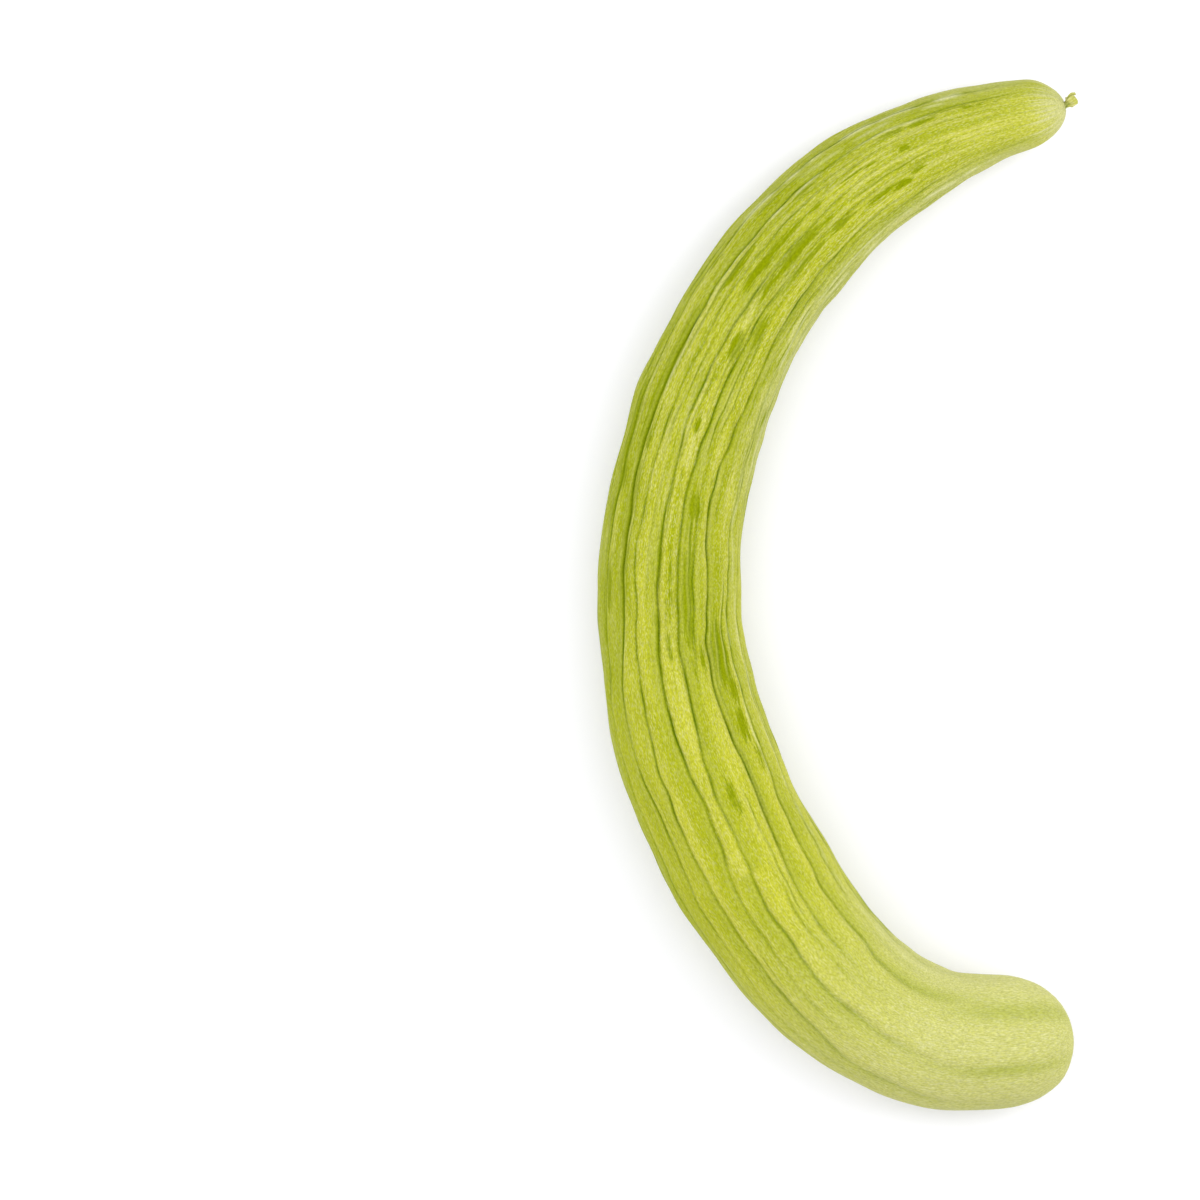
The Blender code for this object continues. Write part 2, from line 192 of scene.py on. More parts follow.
# Deep green blotches: distance along, angle, half length, half width, strength
BLOTCHES = (
    (31, 31, 8, 0.9, 0.6),
    (41, 33, 9, 0.7, 0.6),
    (50, 30, 4.5, 1.2, 0.95),
    (61, 32, 6, 1.0, 0.9),
    (59, -19, 4, 0.8, 0.85),
    (68, -24, 4, 1.2, 1.0),
    (77, -21, 6, 1.1, 0.85),
    (60, 9, 2.8, 1.0, 1.0),
    (74, 12, 2, 0.6, 0.8),
    (80, 13, 5, 0.6, 0.7),
    (45, -7, 3, 0.8, 0.5),
    (93, -17, 6, 0.9, 0.9),
    (112, -17, 13, 1.0, 0.8),
    (98, -5, 5, 1.0, 0.7),
    (111, -4, 12, 1.7, 1.0),
    (126, -3, 7, 1.3, 0.85),
    (96, 12, 4, 0.8, 0.75),
    (108, 12, 7, 1.1, 0.8),
    (123, 13, 11, 1.6, 1.0),
    (94, 33, 6, 1.2, 0.7),
    (128, 31, 9, 1.5, 0.9),
    (90, 61, 3, 0.9, 0.8),
    (101, 60, 4, 0.9, 0.7),
    (130, 58, 5, 1.0, 0.8),
    (138, 59, 4, 0.7, 0.7),
    (128, -54, 5, 0.6, 0.7),
    (145, -54, 7, 0.5, 0.7),
    (142, -18, 7, 1.8, 0.85),
    (151, -5, 5, 1.9, 1.1),
    (170, -66, 4, 1.3, 0.8),
    (160, 42, 14, 1.7, 1.2),
    (184, 45, 14, 1.5, 1.15),
    (210, 43, 14, 1.7, 1.2),
    (234, 42, 14, 1.6, 1.15),
    (181, -1, 3, 0.9, 0.95),
    (190, 38, 3.5, 1.0, 0.85),
    (187, 64, 12, 2.2, 1.2),
    (203, 60, 5, 2.0, 1.2),
    (214, 63, 4, 1.4, 0.9),
    (209, -15, 4.5, 1.8, 1.15),
    (217, -14, 4, 1.1, 0.8),
    (243, -14, 20, 1.9, 1.15),
    (236, 0, 16, 1.2, 0.6),
    (261, 3, 6, 0.8, 0.7),
    (228, 9.5, 12, 1.0, 0.8),
    (262, 12.5, 20, 1.1, 0.7),
    (239, 58, 7, 1.6, 0.9),
    (253, 66, 5, 1.4, 0.9),
    (267, 63, 5, 1.0, 0.7),
    (265, -39, 13, 2.5, 1.1),
    (280, -43, 6, 1.9, 0.8),
    (293, -42, 7, 1.9, 0.85),
    (267, -23, 6, 1.4, 0.75),
    (306, -47, 7, 1.7, 0.6),
    (317, -13, 6, 1.6, 0.8),
)
PATCH_SOFTNESS = 0.7

# Seeded blotches: how many, and the lowest and highest half length, distance, angle, half width and strength
SEEDED_BLOTCHES = 26
SEEDED_RANGES = ((5, 17), (40, 400), (80, 290), (1.4, 2.6), (0.4, 0.9))

# Broad soft bands of deeper green, with painted shade along the outer flank in the rows at 50 to 74 degrees:
# distance along, angle, half length, half width, strength
GREEN_BANDS_AND_PAINTED_SHADE = (
    (70, 50, 55, 5.0, 0.7),
    (112, -4, 26, 4.5, 0.5),
    (122, 13, 20, 3.5, 0.5),
    (150, 74, 45, 5.0, 0.6),
    (255, -18, 30, 5.0, 0.5),
    (270, -40, 26, 3.5, 0.6),
    (260, 64, 60, 6.0, 0.7),
    (340, 64, 40, 6.0, 0.6),
    (454, 24, 12, 2.2, 0.8),
    (424, -38, 22, 2.8, 0.7),
    (455, -28, 20, 3.6, 0.75),
)

STALK_RADIUS, STALK_LENGTH, STALK_RIBS, STALK_SIDES = 4.1, 4.0, 5, 90
STALK_RIB_DEPTH, STALK_ROUGHNESS = 0.09, 0.03  # shares of its radius
STALK_RING_WAVE = 0.1  # how far its rings stray up and down
STALK_CUT_TILT, STALK_CUT_DISH = 18.0, 0.5  # degrees, and how deep the cut is dished
STALK_CUT_EDGE = 0.76  # the cut's share of the stalk's radius
STALK_RIM = 0.6  # the cut is darker outside this share of the radius
STALK_SHARP_ANGLE = 50.0

# Height above the stalk's foot, share of its radius
STALK_PROFILE = (
    (-0.3, 1.02),
    (0.0, 1.0),
    (0.4, 0.99),
    (0.8, 0.97),
    (1.2, 0.92),
    (1.6, 0.86),
    (2.0, 0.81),
    (2.4, 0.78),
    (2.8, 0.765),
    (3.2, 0.76),
    (3.6, 0.77),
    (3.9, 0.78),
    (STALK_LENGTH, STALK_CUT_EDGE),
)
STALK_CUT_RINGS = (0.68, 0.58, 0.46, 0.34, 0.22, 0.1)

FLOWER_NECK, NECK_RIBS, NECK_RIB_DEPTH, NECK_SIDES = 1.35, 5, 0.07, 40
FLOWER_FOOT, FLOWER_TURN = 0.5, 20.0  # how high above its foot the flower bends, and by how many degrees

# Height above the neck's foot, share of its radius
NECK_PROFILE = (
    (-0.35, 1.05),
    (0.0, 1.0),
    (0.3, 0.93),
    (0.5, 0.88),
    (0.8, 0.84),
    (1.1, 0.82),
    (1.45, 0.86),
    (1.8, 0.9),
    (2.1, 0.84),
    (2.4, 0.62),
    (2.5, 0.3),
)

# Turn round the flower, lean, length, width
PETALS = (
    (8, 10, 5.6, 2.8),
    (88, 6, 4.8, 4.3),
    (165, 20, 3.6, 2.6),
    (262, 8, 4.5, 3.9),
    (318, 26, 3.2, 2.6),
)
PETAL_ROWS, PETAL_COLUMNS, PETAL_THICKNESS = 22, 13, 0.3
PETAL_ROOT = (0.3, 0.0, 0.7)  # where a petal leaves the neck, before it is turned round it
PETAL_TWIST, PETAL_SWAY = 26.0, 14.0  # degrees
PETAL_CRUMPLE, PETAL_RIPPLE, PETAL_FOLD = 0.55, 0.12, 0.5
PETAL_PATTERN = (9.0, 0.2, 0.25)  # how far apart the veins' pattern is read: petals, columns, rows

# Lights, floor and camera are in metres. Each light: name, place, size, power, colour
LIGHTS = (
    ("key_right", (0.9, 0.25, 0.9), (0.9, 0.9), 8.3, (1.0, 0.99, 0.98)),
    ("fill_left", (-1.0, 0.1, 0.9), (0.9, 0.9), 6.3, (0.99, 0.99, 1.0)),
    ("top", (-0.04, 0.0, 1.5), (1.2, 1.2), 4.0, (1.0, 1.0, 1.0)),
)
LIGHT_TARGET = (-0.04, 0.0, 0.0)
WORLD_STRENGTH = 0.92
LIGHT_LEVEL = 1.5  # how much brighter than its base colour a matt surface shows in this light

FLOOR_SIZE = 3.0
FLOOR_COLOUR = (0.89, 0.89, 0.95, 1.0)

CAMERA_LENS, SENSOR = 400.0, 36.0
FRAME_WIDTH = 0.42  # what the picture shows from side to side, near the height of the fruit's middle
FRAME_MIDDLE = (-0.0833, -0.0019, 0.02)


def smooth_between(rows, where):
    """The columns of rows, after the first, at distances along, on a smooth curve through every row."""
    rows = np.array(rows, float)
    where = np.asarray(where, float)
    k = np.clip(np.searchsorted(rows[:, 0], where, side="left") - 1, 0, len(rows) - 2)
    before, low, high = rows[np.maximum(k - 1, 0)], rows[k], rows[k + 1]
    after = rows[np.minimum(k + 2, len(rows) - 1)]
    span = high[..., :1] - low[..., :1]
    t = (where[..., None] - low[..., :1]) / span
    rise = (high - before)[..., 1:] / (high - before)[..., :1] * span
    fall = (after - low)[..., 1:] / (after - low)[..., :1] * span
    return (
        low[..., 1:] * (1 + 2 * t) * (1 - t) ** 2
        + rise * t * (1 - t) ** 2
        + high[..., 1:] * t * t * (3 - 2 * t)
        - fall * t * t * (1 - t)
    )


def unit(vectors):
    return vectors / np.linalg.norm(vectors, axis=-1, keepdims=True)


class Line:
    """The fruit's own line, worked out once in short steps."""

    STEP = 0.5
    REACH = 4  # how many steps before and behind a place its direction is taken from

    def __init__(self):
        count = round(LENGTH / self.STEP)
        middles = (np.arange(count) + 0.5) * self.STEP
        heading = np.radians(smooth_between(STATIONS, middles)[:, 0])
        steps = np.stack([np.cos(heading), np.sin(heading)], axis=1) * self.STEP
        self.points = np.zeros((count + 1, 3))
        self.points[1:, :2] = np.cumsum(steps, axis=0)
        self.places = np.arange(count + 1) * self.STEP
        self.points[:, 2] = smooth_between(STATIONS, self.places)[:, 2]

    def at(self, where):
        """Points, directions, outward sides and upward sides of the line at distances along it."""
        where = np.asarray(where, float)
        point = np.stack([np.interp(where, self.places, self.points[:, c]) for c in range(3)], axis=-1)
        i = np.minimum((where / self.STEP).astype(int), len(self.points) - 2)
        behind = self.points[np.maximum(i - self.REACH, 0)]
        ahead = self.points[np.minimum(i + 1 + self.REACH, len(self.points) - 1)]
        direction = unit(ahead - behind)
        outward = unit(np.cross(direction, (0.0, 0.0, 1.0)))
        return point, direction, outward, np.cross(outward, direction)


def rounding(where):
    """Share of the full width that the two rounded ends leave."""
    share = np.ones_like(where)
    for reach, length, squareness in ((where, TIP_CAP, TIP_ROUND), (LENGTH - where, END_CAP, END_ROUND)):
        left = np.clip(1 - reach / length, 0, 1)
        share *= np.sqrt(1 - left**squareness)
    return share


def half_width(where):
    """Half width at distances along, which ends in the sockets' own radius at both ends."""
    full = smooth_between(STATIONS, where)[..., 1]
    seat = np.where(where < LENGTH / 2, FLOWER_SEAT, STALK_SEAT)
    share = rounding(where)
    return np.sqrt(seat**2 * (1 - share**2) + (full * share) ** 2)


def furrows():
    """Angles and depths of each furrow at even steps along the fruit, in order round it."""
    draw = random.Random(7)
    last, first = FURROWS[-1][0], FURROWS[0][0]
    found = list(FURROWS)
    for k in range(1, UNDERSIDE_FURROWS + 1):
        share = k / (UNDERSIDE_FURROWS + 1)
        jitter = draw.uniform(-UNDERSIDE_JITTER, UNDERSIDE_JITTER)
        angles = [a + (b + 360 - a) * share + jitter for a, b in zip(last, first)]
        strength = draw.uniform(*UNDERSIDE_STRENGTHS)
        if k in (1, UNDERSIDE_FURROWS):
            strength *= UNDERSIDE_EDGE_SHARE
        found.append((angles, [depth * strength for depth in UNDERSIDE_DEPTHS]))
    return found


def furrow_lines(where):
    """Angles in radians and depths of every furrow, one column each, at distances along the fruit."""
    angles, depths = [], []
    for number, furrow in enumerate(furrows()):
        rows = [(i * FURROW_STEP, *pair) for i, pair in enumerate(zip(*furrow))]
        found = smooth_between(rows, where)
        stray = WANDER * noise_along(where / WANDER_LENGTH, number * 7.3, 2.1)
        stray += FINE_WANDER * noise_along(where / FINE_WANDER_LENGTH, number * 3.9, 8.6)
        angles.append(np.radians(found[:, 0] + stray))
        uneven = 1 + DEPTH_CHANGE * noise_along(where / DEPTH_CHANGE_LENGTH, number * 5.1, 4.7)
        depths.append(np.maximum(found[:, 1], 0) * uneven)
    return np.stack(angles, axis=1), np.stack(depths, axis=1)


def noise_along(where, second, third):
    """Smooth noise along one line, mostly from -1 to 1 and now and then up to 1.7 either way."""
    return np.array([2 * noise.noise((s, second, third)) for s in where.tolist()])


def noise_at(places, offset=(0, 0, 0)):
    """The same noise at many places."""
    flat = (places + np.array(offset)).reshape(-1, 3).tolist()
    return np.array([noise.noise(p) for p in flat]).reshape(places.shape[:-1]) * 2


def ring_places():
    """Distances of the rings: close together over the rounded ends, even between them."""
    turns = np.linspace(0, math.pi / 2, CAP_RINGS + 1)
    tip = TIP_CAP * (1 - np.cos(turns))
    end = LENGTH - END_CAP * (1 - np.cos(turns[::-1]))
    middle = np.linspace(TIP_CAP, LENGTH - END_CAP, BODY_RINGS)
    return np.concatenate([tip, middle[1:-1], end])


def column_angles(cuts):
    """Angles of all lines of points: they crowd towards the furrows, and most are on the upper side."""
    ends = np.concatenate([cuts[:, 1:], cuts[:, :1] + 2 * math.pi], axis=1)
    found = []
    for n in range(cuts.shape[1]):
        count = TOP_COLUMNS if n < len(FURROWS) - 1 else UNDERSIDE_COLUMNS
        t = np.arange(count) / count
        t = t - COLUMN_CROWDING * np.sin(2 * math.pi * t) / (2 * math.pi)
        found.append(cuts[:, n : n + 1] + (ends - cuts)[:, n : n + 1] * t)
    return np.concatenate(found, axis=1)


def turn_from(a, b):
    """The shorter turn from angle b to angle a, with its sign."""
    return (a - b + math.pi) % (2 * math.pi) - math.pi


def blotch_list():
    """The blotches that show from above, and seeded ones on the sides and the underside."""
    draw = random.Random(19)
    found = list(BLOTCHES)
    for _ in range(SEEDED_BLOTCHES):
        half_length, place, turn, half_wide, strength = (draw.uniform(*ends) for ends in SEEDED_RANGES)
        found.append((place, turn, half_length, half_wide, strength))
    return found


def patches(rows, where, angle, radius):
    """How strongly each point lies in one of these patches, up to its strength, with a long soft edge."""
    found = np.zeros_like(angle)
    for place, turn, half_length, half_wide, strength in rows:
        along = (where - place) / half_length
        across = turn_from(angle, math.radians(turn)) * radius / half_wide
        found = np.maximum(found, strength * np.exp(-PATCH_SOFTNESS * (along**2 + across**2)))
    return found


class Skin:
    """The fruit's skin worked out on a grid of rings and lines: its places and what grows where."""

    def __init__(self, line):
        where = ring_places()
        cuts, depths = furrow_lines(where)
        self.angle = column_angles(cuts)
        self.where = np.broadcast_to(where[:, None], self.angle.shape)
        self.radius = np.broadcast_to(half_width(where)[:, None], self.angle.shape)
        self.grown = np.stack(
            [self.where, self.radius * np.cos(self.angle), self.radius * np.sin(self.angle)], axis=-1
        )
        self.fibre = np.stack(
            [self.where, FIBRE_RADIUS * np.cos(self.angle), FIBRE_RADIUS * np.sin(self.angle)], axis=-1
        )
        fall = self.carve(cuts, depths)
        self.groove = self.grooves(cuts)
        fall = fall + GROOVE_DEPTH * self.groove
        self.crest = self.crests()
        swell = np.minimum(1, self.radius / FULL_RELIEF_RADIUS) * rounding(self.where)
        reach = self.radius - fall + swell * (self.lumps() + self.wrinkles() + CREST_HEIGHT * self.crest)
        point, _, outward, up = line.at(where)
        self.places = (
            point[:, None]
            + outward[:, None] * (reach * np.sin(self.angle))[..., None]
            + up[:, None] * (reach * SECTION_HEIGHT * np.cos(self.angle))[..., None]
        )
        self.places[..., 2] = np.maximum(self.places[..., 2], 0)
        self.blotch = patches(blotch_list(), self.where, self.angle, self.radius)
        self.bands_and_painted_shade = patches(GREEN_BANDS_AND_PAINTED_SHADE, self.where, self.angle, self.radius)

    def carve(self, cuts, depths):
        """How far every point falls into its furrows. It also notes the creases, slopes and raised lips."""
        fall = np.zeros_like(self.angle)
        width, share, darkness = np.moveaxis(smooth_between(CREASES, self.where[:, :1]), -1, 0)
        self.furrow, self.valley, self.lip = (np.zeros_like(self.angle) for _ in range(3))
        for n in range(cuts.shape[1]):
            cut, depth = cuts[:, n : n + 1], depths[:, n : n + 1]
            turn = turn_from(self.angle, cut)
            beyond = turn * np.sin(cut) > 0
            away = np.abs(turn) * self.radius
            crease = np.exp(-((away / width) ** CREASE_POWER))
            slope_width = SLOPE_WIDTH * np.where(beyond, 1 + SLOPE_SKEW, 1 - SLOPE_SKEW)
            slope = np.exp(-((away / slope_width) ** 2))
            raised = np.exp(-(((away - LIP_PLACE) / LIP_WIDTH) ** 2)) * np.minimum(depth, 1)
            fall += depth * (share * crease + (1 - share) * slope) - LIP_HEIGHT * raised
            # Masks for the colour: the crease's dark line, partly painted shade; painted shade on the slope;
            # a painted highlight on the raised lip.
            dark = darkness * np.minimum(1.6 * depth, 1) * np.exp(-((away / width) ** 2))
            self.furrow = np.maximum(self.furrow, dark)
            self.valley = np.maximum(self.valley, slope * beyond * np.minimum(depth, 1))
            self.lip = np.maximum(self.lip, FURROW_LIP_HIGHLIGHT * raised)
        return fall

    def grooves(self, cuts):
        """How deep each point lies in one of the fine grooves that follow the furrows. It adds their lips."""
        draw = random.Random(31)
        along = self.where[:, 0]
        found = np.zeros_like(self.angle)
        for number in range(GROOVES):
            gap = draw.randrange(cuts.shape[1])
            left = cuts[:, gap]
            right = cuts[:, gap + 1] if gap + 1 < cuts.shape[1] else cuts[:, 0] + 2 * math.pi
            middle, reach = draw.triangular(*GROOVE_MIDDLES), draw.triangular(*GROOVE_REACHES)
            turn = left + (right - left) * draw.uniform(0.15, 0.85)
            stray = noise_along(along / GROOVE_WANDER_LENGTH, number * 3.3, 12.4)
            turn = turn + math.radians(GROOVE_WANDER) * stray
            fade = np.clip(1.6 * (1 - ((along - middle) / reach) ** 2), 0, 1)
            fade = fade * draw.triangular(*GROOVE_STRENGTHS)
            away = turn_from(self.angle, turn[:, None]) * self.radius
            found = np.maximum(found, fade[:, None] * np.exp(-((away / GROOVE_WIDTH) ** 2)))
            # Painted highlight on the groove's lip.
            lip = fade[:, None] * np.exp(-(((away - GROOVE_LIP_PLACE) / GROOVE_LIP_WIDTH) ** 2))
            self.lip = np.maximum(self.lip, lip)
        return found

    def crests(self):
        """How strongly each point lies on one of the thin crests, which stray and fade here and there."""
        along = self.where[:, 0]
        found = np.zeros_like(self.angle)
        for number, (start, first, end, last, strength, width) in enumerate(CRESTS):
            turn = np.radians(np.interp(along, (start, end), (first, last)))
            turn += math.radians(CREST_WANDER) * noise_along(along / CREST_WANDER_LENGTH, number * 4.4, 6.2)
            fade = np.clip((along - start) / CREST_FADE, 0, 1) * np.clip((end - along) / CREST_FADE, 0, 1)
            gaps = noise_along(along / CREST_GAP_LENGTH, number * 2.7, 1.5)
            fade = fade * np.clip(0.75 + 0.8 * gaps, 0, 1)
            away = turn_from(self.angle, turn[:, None]) * self.radius
            found = np.maximum(found, strength * fade[:, None] * np.exp(-((away / width) ** 2)))
        return found

    def lumps(self):
        found = np.zeros_like(self.angle)
        for height, along, across in LUMPS:
            found += height * noise_at(self.grown / np.array((along, across, across)), (3.7, 9.1, 5.3))
        return found

    def wrinkles(self):
        """Fine folds that run along the fruit, with sharp grooves between them."""
        places = self.fibre / np.array((WRINKLE_ALONG, WRINKLE_ACROSS, WRINKLE_ACROSS))
        folds = 1.6 * np.abs(noise_at(places, (1.9, 4.2, 7.7))) - 1
        height = smooth_between(WRINKLES, self.where)[..., 0]
        return height * folds


def seat_ring(skin, line, where, radius, row):
    """A plain round ring on the same lines of points, for the floor of a socket."""
    point, _, outward, up = line.at(where)
    angle = skin.angle[row]
    return point + radius * (np.sin(angle)[:, None] * outward + np.cos(angle)[:, None] * up)


def close_rings(rows, first_centre, last_centre):
    """Vertices and faces of a closed skin over rows of equally many points, with a fan at each end."""
    count, columns = rows.shape[:2]
    vertices = np.concatenate([rows.reshape(-1, 3), [first_centre, last_centre]])
    index = np.arange(count * columns).reshape(count, columns)
    right = np.roll(index, -1, axis=1)
    walls = np.stack([index[:-1], right[:-1], right[1:], index[1:]], axis=-1).reshape(-1, 4)
    first = [(int(b), int(a), count * columns) for a, b in zip(index[0], right[0])]
    last = [(int(a), int(b), count * columns + 1) for a, b in zip(index[-1], right[-1])]
    return vertices, walls.tolist() + first + last


def add_values(mesh, name, values):
    layer = mesh.attributes.new(name, "FLOAT", "POINT")
    layer.data.foreach_set("value", np.asarray(values, np.float32).ravel())


def add_vectors(mesh, name, values):
    layer = mesh.attributes.new(name, "FLOAT_VECTOR", "POINT")
    layer.data.foreach_set("vector", np.asarray(values, np.float32).ravel())


def padded(grid):
    """Values of the skin's grid for every vertex, with those of the sockets' rings and middles."""
    return np.concatenate([grid[:1], grid, grid[-1:]]).reshape((-1,) + grid.shape[2:])


def spread_flat(mesh, skin):
    """A flat map of the skin: along the fruit one way and round it the other way."""
    rows, columns = skin.angle.shape
    layer = mesh.uv_layers.new(name="OFBake")
    loops = np.zeros(len(mesh.loops), dtype=np.int64)
    mesh.loops.foreach_get("vertex_index", loops)
    along = padded(skin.where) / LENGTH
    along = np.concatenate([along, [0.0, 1.0]])
    number = np.concatenate([np.tile(np.arange(columns), rows + 2), [0, 0]])
    starts = np.zeros(len(mesh.polygons), dtype=np.int64)
    totals = np.zeros(len(mesh.polygons), dtype=np.int64)
    mesh.polygons.foreach_get("loop_start", starts)
    mesh.polygons.foreach_get("loop_total", totals)
    owner = np.repeat(np.arange(len(starts)), totals)
    round_it = number[loops].astype(float)
    walls = totals[owner] == 4
    lowest = np.full(len(starts), columns, dtype=float)
    np.minimum.at(lowest, owner, round_it)
    highest = np.zeros(len(starts))
    np.maximum.at(highest, owner, round_it)
    wraps = (highest - lowest > columns / 2)[owner] & (round_it == 0) & walls
    round_it[wraps] = columns
    u = MAP_MARGIN + (1 - 2 * MAP_MARGIN) * along[loops]
    v = MAP_MARGIN + (1 - 2 * MAP_MARGIN) * round_it / columns
    layer.data.foreach_set("uv", np.stack([u, v], axis=1).astype(np.float32).ravel())


def make_fruit(skin, line, shift, material):
    flower_floor = seat_ring(skin, line, FLOWER_SEAT_DEPTH, FLOWER_SEAT, 0)
    stalk_floor = seat_ring(skin, line, LENGTH - STALK_SEAT_DEPTH, STALK_SEAT, -1)
    rows = np.concatenate([flower_floor[None], skin.places, stalk_floor[None]])
    centres = (line.at(FLOWER_SEAT_DEPTH)[0], line.at(LENGTH - STALK_SEAT_DEPTH)[0])
    vertices, faces = close_rings(rows, *centres)
    mesh = bpy.data.meshes.new("fruit_skin")
    mesh.from_pydata((vertices * MM + shift).tolist(), [], faces)
    for name in ("furrow", "valley", "lip", "groove", "crest", "blotch", "bands_and_painted_shade"):
        add_values(mesh, name, np.concatenate([padded(getattr(skin, name)), [0.0, 0.0]]))
    add_values(mesh, "along", np.concatenate([padded(skin.where), [0.0, LENGTH]]))
    add_values(mesh, "turn", np.concatenate([padded(np.cos(skin.angle)), [0.0, 0.0]]))
    add_values(mesh, "side", np.concatenate([padded(np.sin(skin.angle)), [0.0, 0.0]]))
    for name in ("grown", "fibre"):
        add_vectors(mesh, name, np.concatenate([padded(getattr(skin, name)), [(0, 0, 0), (LENGTH, 0, 0)]]))
    spread_flat(mesh, skin)
    mesh.materials.append(material)
    mesh.shade_smooth()
    finish_piece("fruit_skin", mesh, "fruit")


def finish_piece(name, mesh, node):
    obj = bpy.data.objects.new(name, mesh)
    bpy.context.scene.collection.objects.link(obj)
    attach(obj, "root")
    if node:
        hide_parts(node)
    return obj


class Nodes:
    """Short calls for the nodes of one material."""

    def __init__(self, name):
        self.material = bpy.data.materials.new(name)
        self.material.use_nodes = True
        self.tree = self.material.node_tree
        self.shader = self.tree.nodes["Principled BSDF"]

    def node(self, kind, **settings):
        made = self.tree.nodes.new(kind)
        for name, value in settings.items():
            setattr(made, name, value)
        return made

    def feed(self, socket, value):
        if isinstance(value, bpy.types.NodeSocket):
            self.tree.links.new(value, socket)
        else:
            socket.default_value = value

    def value(self, name):
        return self.node("ShaderNodeAttribute", attribute_name=name).outputs["Fac"]

    def vector(self, name):
        return self.node("ShaderNodeAttribute", attribute_name=name).outputs["Vector"]

    def math(self, operation, a, b=0.0, c=0.0):
        made = self.node("ShaderNodeMath", operation=operation)
        for socket, value in zip(made.inputs, (a, b, c)):
            self.feed(socket, value)
        return made.outputs[0]

    def step(self, value, low, high):
        """0 below low, 1 above high and smooth between, or the reverse where low is the larger."""
        made = self.node("ShaderNodeMapRange", interpolation_type="SMOOTHSTEP")
        self.feed(made.inputs["Value"], value)
        rising = low < high
        self.feed(made.inputs["From Min"], low if rising else high)
        self.feed(made.inputs["From Max"], high if rising else low)
        self.feed(made.inputs["To Min"], 0.0 if rising else 1.0)
        self.feed(made.inputs["To Max"], 1.0 if rising else 0.0)
        return made.outputs["Result"]

    def noise(self, place, sizes, detail=2.0, roughness=0.5, shift=0.0):
        """Noise whose marks have these sizes in the units of the place, along its three axes."""
        scaled = self.node("ShaderNodeVectorMath", operation="MULTIPLY")
        self.feed(scaled.inputs[0], place)
        self.feed(scaled.inputs[1], tuple(1 / size for size in sizes))
        moved = self.node("ShaderNodeVectorMath", operation="ADD")
        self.feed(moved.inputs[0], scaled.outputs[0])
        self.feed(moved.inputs[1], (shift, shift * 0.7, shift * 1.3))
        made = self.node("ShaderNodeTexNoise")
        self.feed(made.inputs["Vector"], moved.outputs[0])
        self.feed(made.inputs["Scale"], 1.0)
        self.feed(made.inputs["Detail"], detail)
        self.feed(made.inputs["Roughness"], roughness)
        return made.outputs["Fac"]

    def mix(self, share, a, b, blend="MIX"):
        made = self.node("ShaderNodeMix", data_type="RGBA", blend_type=blend)
        self.feed(made.inputs["Factor"], share)
        self.feed(made.inputs["A"], a)
        self.feed(made.inputs["B"], b)
        return made.outputs["Result"]

    def within(self, value, low, first, last, high):
        """1 from first to last and 0 outside low and high, smooth between."""
        return self.math("MULTIPLY", self.step(value, low, first), self.step(value, high, last))

    def cover(self, colour, other, mask, share):
        """The colour with this share of another over it where the mask is 1."""
        return self.mix(self.math("MULTIPLY", mask, share), colour, other)

    def bump(self, height, distance, strength=1.0, normal=None):
        made = self.node("ShaderNodeBump")
        self.feed(made.inputs["Height"], height)
        self.feed(made.inputs["Distance"], distance)
        self.feed(made.inputs["Strength"], strength)
        if normal is not None:
            self.feed(made.inputs["Normal"], normal)
        return made.outputs["Normal"]

    def set(self, **values):
        for name, value in values.items():
            self.feed(self.shader.inputs[name.replace("_", " ")], value)


def srgb(red, green, blue):
    """A colour from its screen values, 0 to 255."""
    found = []
    for value in (red, green, blue):
        share = value / 255
        found.append(share / 12.92 if share <= 0.04045 else ((share + 0.055) / 1.055) ** 2.4)
    return (*found, 1.0)


def seen(*levels):
    """The base colour that shows with these screen values where the studio's light falls straight on it."""
    return (*(value / LIGHT_LEVEL for value in srgb(*levels)[:3]), 1.0)


LEAF_GREEN = seen(186, 192, 30)
YELLOW_GREEN = seen(210, 211, 62)
STREAK_GREEN = seen(164, 175, 6)
BLOTCH_GREEN = seen(146, 160, 0)
# Deep green of the broad bands, also painted shade on the outer flank and the furrows' slopes.
DEEP_GREEN_AND_PAINTED_SHADE = seen(156, 170, 8)
# Deep green of the dark lines, partly painted shade.
FURROW_GREEN_AND_PAINTED_SHADE = seen(104, 128, 0)
GRAIN_GREEN = seen(156, 168, 34)
# Pale streaks, also the painted highlight on the lips.
PALE_GREEN_AND_HIGHLIGHT = seen(216, 215, 118)
# Painted light and sheen on the sides.
PAINTED_SIDE_LIGHT = seen(214, 215, 148)
TIP_PALE = seen(221, 220, 150)
END_PALE = seen(214, 214, 132)
BELLY_PALE = seen(214, 216, 142)
# Pale flecks of the down, also the painted highlight on the crests.
FLECK_PALE_AND_HIGHLIGHT = seen(232, 232, 172)


